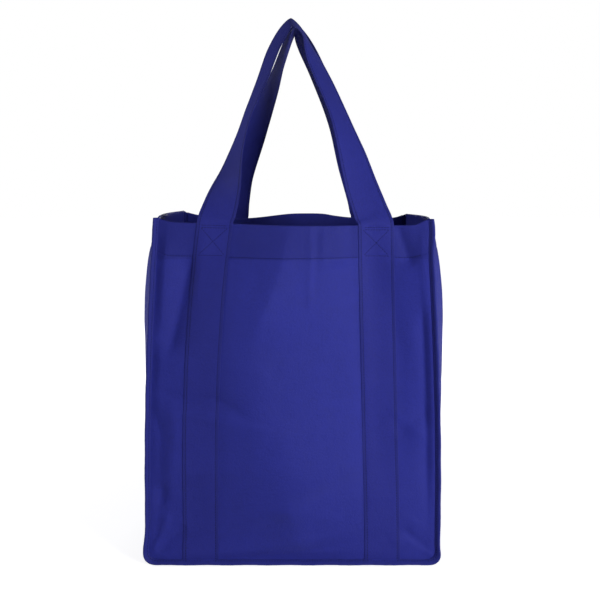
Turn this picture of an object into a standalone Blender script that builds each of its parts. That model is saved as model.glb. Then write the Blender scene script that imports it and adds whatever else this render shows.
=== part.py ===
"""Non-woven tote bag, standing open on its flat base with both handles drawn up to one point.

Metres, +Z up, +X to the right seen from the front, the front panel towards -Y. The origin is on
the surface that the bag stands on, under the middle of the bag.

A front and a back panel are sewn to one gusset strip that runs down one side, under the base and
up the other side. Each sewn edge stands out as a narrow bound ridge. One long strap for each
panel starts in the bottom seam, runs up over the panel, makes the handle and comes down again.
"""

import math

import bmesh
import bpy
from mathutils import Vector

# Bag body, measured between the seam lines
WIDTH = 0.330
MOUTH_WIDTH = 0.302
DEPTH = 0.236
MOUTH_DEPTH = 0.208
HEIGHT = 0.393
CORNER_RADIUS = 0.011
TAPER_START = 0.060
TAPER_POWER = 1.9
LEAN_POWER = 1.6
RIM_BOW_POWER = 3
RIM_CORNER_LIFT = 0.0085
RIM_CORNER_RUN = 0.016
RIM_CORNER_POWER = 6

# How far the gusset bulges out at the left and the right side: it rises with the height and
# loses a share of itself again at the rim, where the hem holds it in
BULGE = {-1: 0.031, 1: 0.033}
BULGE_POWER = 0.55
BULGE_RIM_LOSS = 0.7
BULGE_RIM_POWER = 9

# Cloth, hems and seams
CLOTH = 0.0008
CLEARANCE = 0.0003
HEM_DEPTH = 0.038
HEM_GAP = 0.0005
SEAM_HEIGHT = 0.0055
SEAM_ALLOWANCE = 0.0055
BINDING_CLOTH = 0.0006
BINDING_START = 0.0012
BINDING_CLEARANCE = 0.0004
RIDGE_ANGLE_SIDE = math.radians(45)
RIDGE_ANGLE_BASE = math.radians(30)
BASE_SAG_RUN = 0.008
BASE_SAG_HEIGHT = 0.040

# Straps and handles
STRAP_WIDTH = 0.041
STRAP_CLOTH = 0.0010
HANDLE_RISE = 0.2365
HANDLE_SPREAD = 0.040
PEAK_START = 0.6

# Stiffening board that lies loose on the base
BOARD_THICKNESS = 0.0022
BOARD_CLEARANCE = 0.0015

# How finely the solids are divided
SIDE_ROWS = 12
HEM_ROWS = 3
CORNER_STEPS = 3
STRAP_COLUMNS = 3
MIDDLE_COLUMNS = 6
OUTER_COLUMNS = 2
GUSSET_COLUMNS = 10
LEG_STATIONS = 14
SHARP_ANGLE = math.radians(40)

# What differs between the two panels: which way it faces, where its straps lie at the base and
# at the rim and how they curve between, how far they draw the rim in, and how far the rim bows
# out between them. Then the handle: its peak's place, and by share of each leg how far it
# stands off from a straight line to the peak, and its twist in degrees.
FRONT = {
    "name": "front",
    "facing": -1,
    "strap_at_base": (-0.1068, 0.1037),
    "strap_at_rim": (-0.0878, 0.0942),
    "strap_curve": (2.5, 1.2),
    "strap_pull": 0.005,
    "rim_bow": 0.009,
    "peak_x": -0.0026,
    "stand_off": (
        ((0.0, 0), (0.1, 0.0035), (0.2, 0.0078), (0.32, 0.0098), (0.6, 0.0100), (0.8, 0.0055), (1.0, 0)),
        ((0.0, 0), (0.1, 0.0030), (0.2, 0.0082), (0.32, 0.0112), (0.54, 0.0098), (0.72, 0.0100), (1.0, 0)),
    ),
    "twist": (
        ((0.0, 0), (0.06, 22), (0.15, 56), (0.25, 72), (0.45, 74), (0.70, 68), (1.0, 65)),
        ((0.0, 8), (0.13, 30), (0.29, 56), (0.48, 62), (0.58, 67), (0.70, 80), (0.85, 74), (1.0, 65)),
    ),
}
BACK = {
    "name": "back",
    "facing": 1,
    "strap_at_base": (-0.1058, 0.1042),
    "strap_at_rim": (-0.0828, 0.0982),
    "strap_curve": (2.0, 1.5),
    "strap_pull": 0.012,
    "rim_bow": 0.014,
    "peak_x": 0.0014,
    "stand_off": (
        ((0.0, 0), (0.06, 0.0070), (0.14, 0.0122), (0.28, 0.0098), (0.5, 0.0058), (0.8, 0.0035), (1.0, 0)),
        ((0.0, 0), (0.06, 0.0050), (0.16, 0.0078), (0.3, 0.0112), (0.5, 0.0100), (0.8, 0.0045), (1.0, 0)),
    ),
    "twist": (
        ((0.0, 0), (0.15, 20), (0.30, 45), (0.45, 64), (0.58, 77), (1.0, 80)),
        ((0.0, 4), (0.13, 26), (0.30, 54), (0.50, 62), (0.70, 66), (1.0, 76)),
    ),
}

BLUE = (0.031, 0.037, 0.225)
DARK_BLUE = (0.026, 0.031, 0.185)
BOARD_GREY = (0.055, 0.055, 0.065)


def clear_scene():
    for item in list(bpy.data.objects):
        bpy.data.objects.remove(item, do_unlink=True)


def material(name, colour, roughness):
    made = bpy.data.materials.new(name)
    made.use_nodes = True
    shader = made.node_tree.nodes["Principled BSDF"]
    shader.inputs["Base Color"].default_value = (*colour, 1.0)
    shader.inputs["Roughness"].default_value = roughness
    shader.inputs["Metallic"].default_value = 0.0
    return made


def clamp(value, low=0.0, high=1.0):
    return min(max(value, low), high)


def mix(a, b, share):
    return a + (b - a) * share


def stepped(start, end, steps):
    """The values after start, up to and including end, in even steps."""
    return [mix(start, end, (k + 1) / steps) for k in range(steps)]


def smooth_through(stops, at):
    """Read a smooth curve through (place, value) stops."""
    for k in range(len(stops) - 1):
        if at <= stops[k + 1][0]:
            break
    (a, low), (b, high) = stops[k], stops[k + 1]
    share = clamp((at - a) / (b - a))
    before, after = stops[max(k - 1, 0)], stops[min(k + 2, len(stops) - 1)]
    slope_in = (high - before[1]) / (b - before[0]) * (b - a)
    slope_out = (after[1] - low) / (after[0] - a) * (b - a)
    square, cube = share**2, share**3
    return (
        low * (2 * cube - 3 * square + 1)
        + high * (3 * square - 2 * cube)
        + slope_in * (cube - 2 * square + share)
        + slope_out * (cube - square)
    )


# Form of the bag: the seam lines, and how far each panel stands out between them


def height_share(z):
    return clamp(z / HEIGHT)


def half_width(z):
    """From the middle of the bag to a side seam."""
    share = clamp((z - TAPER_START) / (HEIGHT - TAPER_START))
    return WIDTH / 2 - (WIDTH - MOUTH_WIDTH) / 2 * share**TAPER_POWER


def half_depth(z):
    """From the middle of the bag to the front or back seam."""
    return DEPTH / 2 - (DEPTH - MOUTH_DEPTH) / 2 * height_share(z) ** LEAN_POWER


def strap_middle(side, leg, z):
    share = height_share(z) ** side["strap_curve"][leg]
    return mix(side["strap_at_base"][leg], side["strap_at_rim"][leg], share)


def panel_stand_out(side, x, z):
    """From the middle of the bag to the panel: straps draw its rim in and it bows between them."""
    leg = 0 if x < 0 else 1
    strap = abs(strap_middle(side, leg, z))
    edge = half_width(z)
    reach = abs(x)
    if reach < strap:
        inner = 0.5 + 0.5 * math.cos(math.pi * reach / strap)
        wave = mix(-side["strap_pull"], side["rim_bow"], inner)
    else:
        outer = 0.5 + 0.5 * math.cos(math.pi * clamp((reach - strap) / (edge - strap)))
        wave = -side["strap_pull"] * outer
    return half_depth(z) + wave * height_share(z) ** RIM_BOW_POWER


def corner_point(across, up):
    """Turn a square corner's distances from its two seams into a round corner's.

    Returns the point's distances from the two seam lines, and its direction out of the corner.
    Distances below zero are out in the seam allowance, and stay on the seam line here.
    """
    ring = min(across, up)
    if max(across, up) >= CORNER_RADIUS:
        return max(across, 0.0), max(up, 0.0), (1.0, 0.0) if across <= up else (0.0, 1.0)
    radius = CORNER_RADIUS - ring
    turn = math.radians(45) * (max(across, up) - ring) / radius
    angle = math.radians(45) + (-turn if across < up else turn)
    out = (math.cos(angle), math.sin(angle))
    on_sheet = min(radius, CORNER_RADIUS)
    return CORNER_RADIUS - on_sheet * out[0], CORNER_RADIUS - on_sheet * out[1], out


def ridge_direction(out, x_sign, facing):
    """The way a seam ridge points, for a seam whose outward direction in the panel is out."""
    angle = mix(RIDGE_ANGLE_SIDE, RIDGE_ANGLE_BASE, out[1] ** 2)
    along = math.sin(angle)
    return Vector((x_sign * out[0] * along, facing * math.cos(angle), -out[1] * along))


SEAM_OFFSET = (CLOTH + CLEARANCE) / math.sqrt(2)
RIM = HEIGHT - CLOTH / 2
FOLD_HALF = (CLOTH + HEM_GAP) / 2


def rows():
    """Heights above the bottom seam of the panel's rows, from the allowance up to the rim."""
    top = RIM - FOLD_HALF - SEAM_HEIGHT
    hem = top - HEM_DEPTH
    made = [-SEAM_ALLOWANCE, 0.0]
    made += stepped(0.0, CORNER_RADIUS, CORNER_STEPS)
    made += stepped(CORNER_RADIUS, hem, SIDE_ROWS)
    made += stepped(hem, top, HEM_ROWS)
    return made


def columns(side, z):
    """Places of the panel's columns at one height, from the left allowance to the right one."""
    edge = half_width(z) - SEAM_OFFSET
    made = [-edge - SEAM_ALLOWANCE, -edge]
    made += stepped(-edge, -edge + CORNER_RADIUS, CORNER_STEPS)
    middles = [strap_middle(side, leg, z) for leg in (0, 1)]
    half = STRAP_WIDTH / 2
    made += stepped(made[-1], middles[0] - half, OUTER_COLUMNS)
    made += stepped(made[-1], middles[0] + half, STRAP_COLUMNS)
    made += stepped(made[-1], middles[1] - half, MIDDLE_COLUMNS)
    made += stepped(made[-1], middles[1] + half, STRAP_COLUMNS)
    made += stepped(made[-1], edge - CORNER_RADIUS, OUTER_COLUMNS)
    made += stepped(made[-1], edge, CORNER_STEPS)
    made.append(edge + SEAM_ALLOWANCE)
    return made


FIRST_STRAP_COLUMN = 1 + CORNER_STEPS + OUTER_COLUMNS
STRAP_START = (FIRST_STRAP_COLUMN, FIRST_STRAP_COLUMN + STRAP_COLUMNS + MIDDLE_COLUMNS)
LAST_COLUMN = 2 * (1 + CORNER_STEPS + OUTER_COLUMNS + STRAP_COLUMNS) + MIDDLE_COLUMNS


def rim_lift(x, z):
    """The rim stands a little higher at the seams than along the panels."""
    from_seam = half_width(z) - abs(x)
    near = clamp(1 - from_seam / RIM_CORNER_RUN)
    return RIM_CORNER_LIFT * near**2 * height_share(z) ** RIM_CORNER_POWER


def panel_point(side, x, up):
    """A point of the panel's middle surface, or of the allowance beyond its seam lines."""
    z = SEAM_HEIGHT + max(up, 0.0)
    edge = half_width(z) - SEAM_OFFSET
    x_sign = -1 if x < 0 else 1
    from_side, above, out = corner_point(edge - abs(x), up)
    beyond = max(0.0, -min(edge - abs(x), up))
    place_x = x_sign * (edge - from_side)
    place_z = SEAM_HEIGHT + above
    stand_out = panel_stand_out(side, place_x, place_z)
    point = Vector((place_x, side["facing"] * stand_out, place_z + rim_lift(place_x, place_z)))
    return point + beyond * ridge_direction(out, x_sign, side["facing"])


def panel_grid(side):
    """Rows of points, each from the left allowance to the right one."""
    grid = []
    for up in rows():
        z = SEAM_HEIGHT + max(up, 0.0)
        grid.append([panel_point(side, x, up) for x in columns(side, z)])
    return grid


def grid_normal(grid, row, column, facing):
    """The outward normal of a grid of points at one of them."""
    last_row = len(grid) - 1
    last_column = len(grid[0]) - 1
    along = grid[row][min(column + 1, last_column)] - grid[row][max(column - 1, 0)]
    up = grid[min(row + 1, last_row)][column] - grid[max(row - 1, 0)][column]
    return (along.cross(up) * -facing).normalized()


# Mesh helpers


def add_faces(vertices, faces, grid):
    """Add a grid of points and its quads, and return the rows of vertex numbers."""
    numbers = []
    for line in grid:
        numbers.append(list(range(len(vertices), len(vertices) + len(line))))
        vertices.extend(line)
    for low, high in zip(numbers, numbers[1:]):
        join_rows(faces, low, high)
    return numbers


def join_rows(faces, low, high):
    for k in range(len(low) - 1):
        faces.append((low[k], low[k + 1], high[k + 1], high[k]))


def sheet_object(name, vertices, faces, thickness, finish):
    """An open mesh given an even thickness about its middle surface."""
    mesh = bpy.data.meshes.new(name)
    mesh.from_pydata(vertices, [], faces)
    edit = bmesh.new()
    edit.from_mesh(mesh)
    bmesh.ops.recalc_face_normals(edit, faces=edit.faces)
    edit.to_mesh(mesh)
    edit.free()
    made = bpy.data.objects.new(name, mesh)
    bpy.context.collection.objects.link(made)
    shell = made.modifiers.new("cloth", "SOLIDIFY")
    shell.thickness = thickness
    shell.offset = 0.0
    shell.use_even_offset = True
    shell.use_quality_normals = True
    return finished(made, finish)


def finished(made, finish):
    made.data.materials.append(finish)
    made.data.shade_smooth()
    made.data.set_sharp_from_angle(angle=SHARP_ANGLE)
    return made


# The pieces


def make_panel(side, finish):
    """A panel with its seam allowances, and its rim folded in to a hem."""
    grid = panel_grid(side)
    facing = side["facing"]
    vertices = []
    faces = []
    numbers = add_faces(vertices, faces, grid)
    rim = len(grid) - 1
    hemmed = range(2, LAST_COLUMN - 1)
    inward = [-grid_normal(grid, rim, column, facing) for column in hemmed]
    up = Vector((0, 0, FOLD_HALF))
    crest = [grid[rim][c] + inward[k] * FOLD_HALF + up for k, c in enumerate(hemmed)]
    folded = [crest]
    for row in range(rim, rim - HEM_ROWS - 1, -1):
        folded.append([grid[row][c] + inward[k] * 2 * FOLD_HALF for k, c in enumerate(hemmed)])
    inner = add_faces(vertices, faces, folded)
    join_rows(faces, [numbers[rim][c] for c in hemmed], inner[0])
    return sheet_object(side["name"] + "_panel", vertices, faces, CLOTH, finish)


def seam_path(side):
    """The seam line from the left rim down, along the base and up to the right rim.

    Each station is a point on the seam line of the panel and the ridge's direction there.
    """
    heights = rows()[1:]
    stations = [(-1, None, up) for up in reversed(heights[1:])]
    z_base = SEAM_HEIGHT
    stations += [(0, x, 0.0) for x in columns(side, z_base)[1:-1]]
    stations += [(1, None, up) for up in heights[1:]]
    path = []
    for x_sign, x, up in stations:
        edge = half_width(SEAM_HEIGHT + up) - SEAM_OFFSET
        if x is None:
            x = x_sign * edge
        _, _, out = corner_point(edge - abs(x), up)
        outward = -1 if x < 0 else 1
        point = panel_point(side, x, up)
        path.append((point, out, outward))
    return path


def gusset_bulge(x_sign, z):
    share = height_share(z)
    return BULGE[x_sign] * share**BULGE_POWER * (1 - BULGE_RIM_LOSS * share**BULGE_RIM_POWER)


def gusset_line(front, back):
    """One line of the gusset's middle surface, from its front allowance to its back one."""
    (front_point, out, outward), (back_point, _, _) = front, back
    shift_x = Vector((outward * out[0] * SEAM_OFFSET, 0, -out[1] * SEAM_OFFSET))
    start = front_point + shift_x + Vector((0, SEAM_OFFSET, 0))
    end = back_point + shift_x - Vector((0, SEAM_OFFSET, 0))
    line = [start + SEAM_ALLOWANCE * ridge_direction(out, outward, FRONT["facing"])]
    bulge = gusset_bulge(outward, start.z - SEAM_HEIGHT) * out[0]
    on_floor = CLOTH / 2
    low = clamp(1 - (start.z - SEAM_HEIGHT) / BASE_SAG_HEIGHT)
    drop = (SEAM_HEIGHT - SEAM_OFFSET - on_floor) * low
    length = end.y - start.y
    run = BASE_SAG_RUN / length
    inner = [run + (1 - 2 * run) * k / (GUSSET_COLUMNS - 2) for k in range(GUSSET_COLUMNS - 1)]
    for share in [0.0] + inner + [1.0]:
        point = start.lerp(end, share)
        point.x += outward * bulge * (1 - (2 * share - 1) ** 2)
        if 0.0 < share < 1.0:
            point.z -= drop
        line.append(point)
    line.append(end + SEAM_ALLOWANCE * ridge_direction(out, outward, BACK["facing"]))
    return line


def make_gusset(front_path, back_path, finish):
    """The strip that makes both sides and the base, its two ends folded in to hems."""
    grid = [gusset_line(front, back) for front, back in zip(front_path, back_path)]
    vertices = []
    faces = []
    numbers = add_faces(vertices, faces, grid)
    last = len(grid) - 1
    hemmed = range(2, len(grid[0]) - 2)
    up = Vector((0, 0, FOLD_HALF))
    for end, step in ((0, 1), (last, -1)):
        x_sign = -1 if end == 0 else 1
        inward = []
        for column in hemmed:
            along = grid[end][min(column + 1, len(grid[0]) - 2)] - grid[end][max(column - 1, 1)]
            inward.append(Vector((-x_sign * along.y, x_sign * along.x, 0)).normalized())
        folded = [[grid[end][c] + inward[k] * FOLD_HALF + up for k, c in enumerate(hemmed)]]
        for row in range(HEM_ROWS + 1):
            line = grid[end + step * row]
            folded.append([line[c] + inward[k] * 2 * FOLD_HALF for k, c in enumerate(hemmed)])
        inner = add_faces(vertices, faces, folded)
        join_rows(faces, [numbers[end][c] for c in hemmed], inner[0])
    return sheet_object("gusset", vertices, faces, CLOTH, finish)


def make_binding(side, path, finish):
    """The folded tape that wraps the two seam allowances, a U in section."""
    inside = CLOTH + CLEARANCE / 2 + BINDING_CLEARANCE
    outside = inside + BINDING_CLOTH
    end = SEAM_ALLOWANCE + BINDING_CLEARANCE
    cap = end + BINDING_CLOTH
    section = [
        (BINDING_START, outside),
        (end, outside),
        (cap, inside),
        (cap, -inside),
        (end, -outside),
        (BINDING_START, -outside),
        (BINDING_START, -inside),
        (end, -inside),
        (end, inside),
        (BINDING_START, inside),
    ]
    edit = bmesh.new()
    rings = []
    for point, out, outward in path:
        towards_gusset = Vector((outward * out[0], -side["facing"], -out[1]))
        centre = point + towards_gusset * (SEAM_OFFSET / 2)
        away = ridge_direction(out, outward, side["facing"])
        tangent = Vector((out[1], 0, outward * out[0]))
        across = away.cross(tangent).normalized()
        rings.append([edit.verts.new(centre + away * a + across * b) for a, b in section])
    for first, second in zip(rings, rings[1:]):
        for k in range(len(section)):
            after = (k + 1) % len(section)
            edit.faces.new((first[k], first[after], second[after], second[k]))
    edit.faces.new(rings[0])
    edit.faces.new(rings[-1])
    bmesh.ops.recalc_face_normals(edit, faces=edit.faces)
    if edit.calc_volume(signed=True) < 0:
        bmesh.ops.reverse_faces(edit, faces=edit.faces)
    mesh = bpy.data.meshes.new(side["name"] + "_binding")
    edit.to_mesh(mesh)
    edit.free()
    made = bpy.data.objects.new(mesh.name, mesh)
    bpy.context.collection.objects.link(made)
    return finished(made, finish)


def strap_on_panel(side, leg):
    """The strap's middle surface where it lies on the panel, from the bottom seam to the rim."""
    grid = panel_grid(side)
    lift = CLOTH / 2 + CLEARANCE + STRAP_CLOTH / 2
    first = STRAP_START[leg]
    made = []
    for row in range(2, len(grid)):
        line = []
        for column in range(first, first + STRAP_COLUMNS + 1):
            line.append(grid[row][column] + grid_normal(grid, row, column, side["facing"]) * lift)
        made.append(line)
    return made


def leg_centre(side, leg, start, share):
    """The middle of a handle leg, from the rim at share 0 to the peak at share 1."""
    outward = -1 if leg == 0 else 1
    rise = 1 - (1 - share) ** 2
    bow = outward * smooth_through(side["stand_off"][leg], share)
    return Vector(
        (
            mix(start.x, side["peak_x"], rise) + bow,
            mix(start.y, side["facing"] * HANDLE_SPREAD / 2, rise),
            start.z + HANDLE_RISE * rise,
        )
    )


def handle_rows(side, starts):
    """The handle's rows above the rim, from the left leg over the peak to the right leg.

    The strip keeps its width all the way. As it rises, its edge on the inside of the loop turns
    away from the bag's middle, so that at the peak the strip lies across from front to back.
    """
    stations = [(0, k / LEG_STATIONS) for k in range(1, LEG_STATIONS + 1)]
    stations += [(1, k / LEG_STATIONS) for k in range(LEG_STATIONS - 1, 0, -1)]
    centres = [leg_centre(side, leg, starts[leg], share) for leg, share in stations]
    ends = [starts[0]] + centres + [starts[1]]
    half = STRAP_WIDTH / 2
    made = []
    for k, (leg, share) in enumerate(stations):
        tangent = (ends[k + 2] - ends[k]).normalized()
        inner = Vector((tangent.z, 0, -tangent.x)).normalized()
        hung = clamp((share - PEAK_START) / (1 - PEAK_START))
        inner = inner.lerp(Vector((0, 0, -1)), hung).normalized()
        twist = math.radians(smooth_through(side["twist"][leg], share))
        across = inner * math.cos(twist) + Vector((0, side["facing"] * math.sin(twist), 0))
        square_on = (across - tangent * across.dot(tangent)).normalized()
        across = square_on.lerp(across, hung).normalized()
        steps = [mix(-half, half, c / STRAP_COLUMNS) for c in range(STRAP_COLUMNS + 1)]
        made.append([centres[k] + across * step for step in steps])
    return made


def make_strap(side, finish):
    """One strip: up the panel, round as the handle, and down the panel again."""
    left = strap_on_panel(side, 0)
    right = strap_on_panel(side, 1)
    starts = [(line[0] + line[-1]) / 2 for line in (left[-1], right[-1])]
    grid = left + handle_rows(side, starts)
    grid += [list(reversed(line)) for line in reversed(right)]
    vertices = []
    faces = []
    add_faces(vertices, faces, grid)
    return sheet_object(side["name"] + "_strap", vertices, faces, STRAP_CLOTH, finish)


def make_board(finish):
    """A loose rounded board that keeps the base flat."""
    half_x = WIDTH / 2 - CORNER_RADIUS - BOARD_CLEARANCE
    half_y = DEPTH / 2 - BASE_SAG_RUN - SEAM_OFFSET - BOARD_CLEARANCE
    edit = bmesh.new()
    bmesh.ops.create_cube(edit, size=1.0)
    bmesh.ops.scale(edit, vec=(2 * half_x, 2 * half_y, BOARD_THICKNESS), verts=edit.verts)
    upright = [e for e in edit.edges if abs(e.verts[0].co.z - e.verts[1].co.z) > BOARD_THICKNESS / 2]
    bmesh.ops.bevel(edit, geom=upright, offset=CORNER_RADIUS, segments=CORNER_STEPS, affect="EDGES")
    bmesh.ops.recalc_face_normals(edit, faces=edit.faces)
    mesh = bpy.data.meshes.new("base_board")
    edit.to_mesh(mesh)
    edit.free()
    made = bpy.data.objects.new("base_board", mesh)
    bpy.context.collection.objects.link(made)
    made.location.z = CLOTH + CLEARANCE + BOARD_THICKNESS / 2
    return finished(made, finish)


def main():
    clear_scene()
    cloth = material("non_woven_cloth", BLUE, 0.85)
    webbing = material("strap_cloth", BLUE, 0.85)
    tape = material("binding_tape", DARK_BLUE, 0.85)
    board = material("board", BOARD_GREY, 0.7)
    front_path = seam_path(FRONT)
    back_path = seam_path(BACK)
    make_panel(FRONT, cloth)
    make_panel(BACK, cloth)
    make_gusset(front_path, back_path, cloth)
    make_strap(FRONT, webbing)
    make_strap(BACK, webbing)
    make_binding(FRONT, front_path, tape)
    make_binding(BACK, back_path, tape)
    make_board(board)


main()
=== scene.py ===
"""Looks of the non-woven tote bag: its cloth with hems, folds and creases, the straps with their
folded edges, the taped seams, every stitch, and the stage. Metres, in the frame of the solids.
"""

import math

import bpy
import numpy as np
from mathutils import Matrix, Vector


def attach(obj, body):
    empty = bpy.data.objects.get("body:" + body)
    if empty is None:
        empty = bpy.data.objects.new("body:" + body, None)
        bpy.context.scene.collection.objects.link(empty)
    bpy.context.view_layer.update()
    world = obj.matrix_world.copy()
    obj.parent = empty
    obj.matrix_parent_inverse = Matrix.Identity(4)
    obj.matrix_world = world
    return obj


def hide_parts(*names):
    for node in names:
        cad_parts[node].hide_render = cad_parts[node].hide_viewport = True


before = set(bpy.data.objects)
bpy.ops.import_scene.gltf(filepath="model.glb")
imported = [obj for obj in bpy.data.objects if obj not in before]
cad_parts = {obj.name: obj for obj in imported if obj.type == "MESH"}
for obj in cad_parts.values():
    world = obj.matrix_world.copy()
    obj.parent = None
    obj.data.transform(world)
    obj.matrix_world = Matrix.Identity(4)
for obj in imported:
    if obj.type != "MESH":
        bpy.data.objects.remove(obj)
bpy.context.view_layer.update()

MM = 0.001

# Bag body, measured between the seam lines as in the solids
WIDTH = 0.330
MOUTH_WIDTH = 0.302
DEPTH = 0.236
MOUTH_DEPTH = 0.208
HEIGHT = 0.393
CORNER_RADIUS = 0.011
TAPER_START = 0.060
TAPER_POWER = 1.9
LEAN_POWER = 1.6
RIM_BOW_POWER = 3
RIM_HEIGHT_POWER = 4
SEAM_HEIGHT = 0.0055
RIDGE_ANGLE_SIDE = math.radians(45)
RIDGE_ANGLE_BASE = math.radians(40)
RIDGE_CORNER_REACH = 0.35
BULGE = {-1: 0.031, 1: 0.033}
BULGE_POWER = 0.55
BULGE_RIM_LOSS = 0.7
BULGE_RIM_POWER = 9
BASE_SAG_RUN = 0.008
BASE_SAG_HEIGHT = 0.040

# Cloth, hems and seams
CLOTH = 0.0005
SEAM_OFFSET = 0.0004
SEAM_ALLOWANCE = 0.0062
HEM_DEPTH = 0.038
HEM_FOLD = 0.0005
HEM_STITCH = 0.0360
HEM_GROOVE_DEPTH = 0.00045
HEM_GROOVE_REACH = 0.0009
HEM_LINE_INSET = 0.009
HEM_LINE_CLEARANCE = 0.001
PANEL_TOP = HEIGHT - HEM_FOLD - SEAM_HEIGHT
TAPE_START = 0.0002
TAPE_END = 0.0069
TAPE_HALF = 0.0013
TAPE_CLOTH = 0.0005
TAPE_STITCH = 0.0022
TAPE_GROOVE = 0.0009
TAPE_SHOULDER = 0.0011
TAPE_ROUND = 0.0003

# The tape's waves along its seam, as (length, height)
TAPE_PUCKERS = ((0.0105, 0.00005), (0.047, 0.0002))

# Straps and handles
STRAP_WIDTH = 0.041
STRAP_HALF_THICKNESS = 0.00028
STRAP_GAP = 0.0001
STRAP_TUCK = 0.0040
STRAP_STITCH_INSET = 0.0034
STRAP_ROUND = (0.0001, 0.0004, 0.0012)
STRAP_GROOVE = 0.0007
STRAP_FLAT = 0.0016
HANDLE_RISE = 0.2365
HANDLE_SPREAD = 0.040
PEAK_START = 0.6
RIM_BEND = 0.007
RIM_TURN = 0.016
HANDLE_CURL = 0.0003

# The box and cross sewn on each strap in the hem, from the strap's middle and below the rim
BOX_HALF_WIDTH = 0.0150
BOX_TOP = 0.0020
BOX_DOUBLE = 0.0028
BOX_LOW = 0.0350
GROOVE_DEPTH = 0.00022
GROOVE_REACH = 0.0008
BOX_STEP = 0.0011

# Thread
STITCH_PITCH = 0.0031
STITCH_LENGTH = 0.0024
THREAD = 0.00055
THREAD_SINK = 0.0003

# A fold fades over this share of its length at each end, from part of the way up
FOLD_FADE = 0.3
FOLD_FADE_START = 0.25

# The rumple is a sum of waves, each longer than the last and as high as its length times a slope
RUMPLE_WAVES = 9
RUMPLE_SHORTEST = 34.0
RUMPLE_STEP = 11.0
RUMPLE_SLOPE = 0.00099
RUMPLE_TURN = 2.4
RUMPLE_PHASE = 1.7
SEED_PHASE = 3.1
GUSSET_SEED = 5.0

# Where the bag stands wider than its even taper: (side, height, how much, how far up and down)
FLARES = (
    (-1, 0.014, 0.0032, 0.022),
    (1, 0.008, 0.0014, 0.010),
    (1, 0.392, 0.0026, 0.022),
)
FLARE_START = 0.115
FLARE_RUN = 0.040

# How finely the cloth is divided
FINE = 0.0014
CLOTH_STEP = 0.0030
SEAM_ZONE = 0.012
STRAP_STEP = 0.0030
STRAP_COLUMNS = 22
LEG_STATIONS = 110
SEAM_TURN = 0.0008
SEAM_COLUMNS = 6
ALLOWANCE_SHARES = (0.15, 0.5, 1.0)
NORMAL_STEP = 0.0008
HEM_LINE_STEP = 0.001
BOX_LINE_STATIONS = 40
STITCH_RING = 6

# Finishes
CLOTH_BLUE = (0.021, 0.027, 0.280)
STRAP_BLUE = (0.020, 0.025, 0.260)
TAPE_BLUE = (0.018, 0.023, 0.225)
# The thread is painted far darker than the cloth: partly the thread's own colour, partly painted shade of
# the grooves it lies in
THREAD_BLUE = (0.008, 0.010, 0.065)
BOARD_GREY = (0.055, 0.055, 0.065)
DOT_PITCH = 0.0013
DOT_DEPTH = 0.00022
TAPE_DOT_PITCH = 0.0011
TAPE_DOT_DEPTH = 0.00015
CLOUD = 0.07
STRAP_CLOUD = 0.05

# How fine the cloth's noises are, from single fibres to broad clouds
FIBRE_SCALE = 2600.0
MAT_SCALE = 420.0
CLOUD_SCALE = 60.0
WAVE_SCALE = 55.0
BROAD_SCALE = 9.0

# Painted shade: how much darker the cloth is painted above the hem line and on the band outside a strap's
# edge stitches: (share, tone it goes to)
HEM_SHADE = (0.56, 0.75)
EDGE_SHADE = (0.5, 0.66)

# Stage: the floor's reach and where it has turned white for the camera, in metres from the origin
FLOOR_REACH = 8.0
FLOOR_SIDES = 64
WHITE_START = 0.28
WHITE_END = 0.80
FLOOR_GLOW = 0.80
FLOOR_GREY = (0.5, 0.5, 0.5, 1.0)
WHITE = (1.0, 1.0, 1.0, 1.0)
WORLD_LEVEL = 0.085

# Lamps: name, place, aim, size and power
LAMPS = (
    ("key", (0.72, -0.93, 0.44), (0.0, -0.05, 0.34), 0.34, 9.2),
    ("left", (-1.10, -0.17, 0.75), (0.0, 0.0, 0.30), 0.50, 5.0),
    ("right", (1.15, -0.20, 1.00), (0.0, 0.0, 0.30), 0.50, 1.2),
    ("back", (0.00, 1.52, 0.30), (0.0, 0.0, 0.22), 0.50, 10.0),
)

# Camera, worked out from the photograph's vanishing lines and the bag's width
CAMERA_PLACE = (0.0082, -1.0180, 0.4491)
CAMERA_TILT = 6.660
CAMERA_LENS = 48.815
CAMERA_SHIFT = -0.05
CAMERA_SENSOR = 36.0

# Each panel's strap lines and rim as in the solids, and its rim's height above HEIGHT along x.
# stand_off is how far each leg of the handle bows outwards from the rim to the peak, and twist is
# by how many degrees it is turned edge on there.
FRONT = {
    "name": "front",
    "facing": -1,
    "strap_at_base": (-0.1068, 0.1037),
    "strap_at_rim": (-0.0878, 0.0942),
    "strap_curve": (2.5, 1.2),
    "strap_pull": 0.005,
    "rim_bow": 0.009,
    "rim_height": (
        (-0.151, 0.0095), (-0.145, 0.0060), (-0.135, 0.0035), (-0.100, 0.0020), (0.000, 0.0),
        (0.100, -0.0008), (0.135, -0.0002), (0.145, 0.0045), (0.151, 0.0080),
    ),
    "peak_x": -0.0026,
    "stand_off": (
        ((0.0, 0), (0.1, 0.0035), (0.2, 0.0078), (0.32, 0.0098), (0.45, 0.0084), (0.64, 0.0085), (1.0, 0)),
        ((0.0, 0), (0.1, 0.0030), (0.2, 0.0082), (0.32, 0.0112), (0.54, 0.0098), (0.72, 0.0100), (1.0, 0)),
    ),
    "twist": (
        (
            (0.0, 0), (0.06, 22), (0.15, 56), (0.25, 72), (0.36, 73),
            (0.45, 69.5), (0.56, 67.5), (0.70, 67.5), (1.0, 65),
        ),
        ((0.0, 8), (0.13, 30), (0.29, 56), (0.48, 62), (0.58, 67), (0.70, 80), (0.85, 74), (1.0, 65)),
    ),
}
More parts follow.
